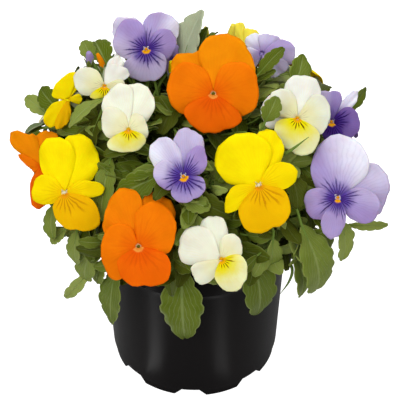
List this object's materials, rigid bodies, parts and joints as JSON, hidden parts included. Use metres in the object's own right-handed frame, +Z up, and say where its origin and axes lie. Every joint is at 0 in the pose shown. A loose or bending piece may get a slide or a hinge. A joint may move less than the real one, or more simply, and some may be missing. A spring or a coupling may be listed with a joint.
{
  "type": "potted horned violet",
  "caption": "Rounded, dense horned violet plant with mixed orange, yellow, lavender, violet and cream blooms in a tapered black plastic nursery pot.",
  "frame": {"origin": "middle of the pot's foot, on the surface that it stands on", "axes": "+Z up; -Y towards the side of the plant that the picture shows; +X to that viewer's right"},
  "size_m": [0.1989, 0.2137, 0.2107],
  "materials": {
    "pot_plastic": "satin black",
    "soil": "crumbly and matt, a mix of peat and bark",
    "foliage": "satin leaf green",
    "lavender": "velvety lavender with a violet centre",
    "violet": "velvety violet with a dark centre",
    "orange": "velvety orange with a red-orange centre",
    "yellow": "velvety yellow with an amber lip",
    "pale_yellow": "velvety pale yellow",
    "cream": "velvety cream with a yellow lip",
    "white": "velvety white with a yellow lip"
  },
  "bodies": {
    "root": {"bloom_cream_back_left": "cream", "bloom_cream_centre_left": "cream", "bloom_cream_low": "cream", "bloom_lavender_back": "lavender", "bloom_lavender_behind_top": "lavender", "bloom_lavender_centre": "lavender", "bloom_lavender_right": "lavender", "bloom_lavender_top_left": "lavender", "bloom_lavender_top_right": "lavender", "bloom_orange_back": "orange", "bloom_orange_back_left": "orange", "bloom_orange_far_left": "orange", "bloom_orange_low": "orange", "bloom_orange_top": "orange", "bloom_pale_yellow_back": "pale_yellow", "bloom_violet_back_right": "violet", "bloom_violet_right": "violet", "bloom_white_back": "white", "bloom_white_right": "white", "bloom_white_top_left": "white", "bloom_yellow_back": "yellow", "bloom_yellow_back_right": "yellow", "bloom_yellow_centre_right": "yellow", "bloom_yellow_front_left": "yellow", "bloom_yellow_left": "yellow", "pot": "pot_plastic", "shoot_back": "foliage", "shoot_back_left": "foliage", "shoot_back_right": "foliage", "shoot_crown_front": "foliage", "shoot_crown_left": "foliage", "shoot_crown_right": "foliage", "shoot_front": "foliage", "shoot_front_left": "foliage", "shoot_front_right": "foliage", "shoot_left": "foliage", "shoot_left_front": "foliage", "shoot_right": "foliage", "shoot_right_back": "foliage", "soil": "soil"}
  },
  "joints": []
}
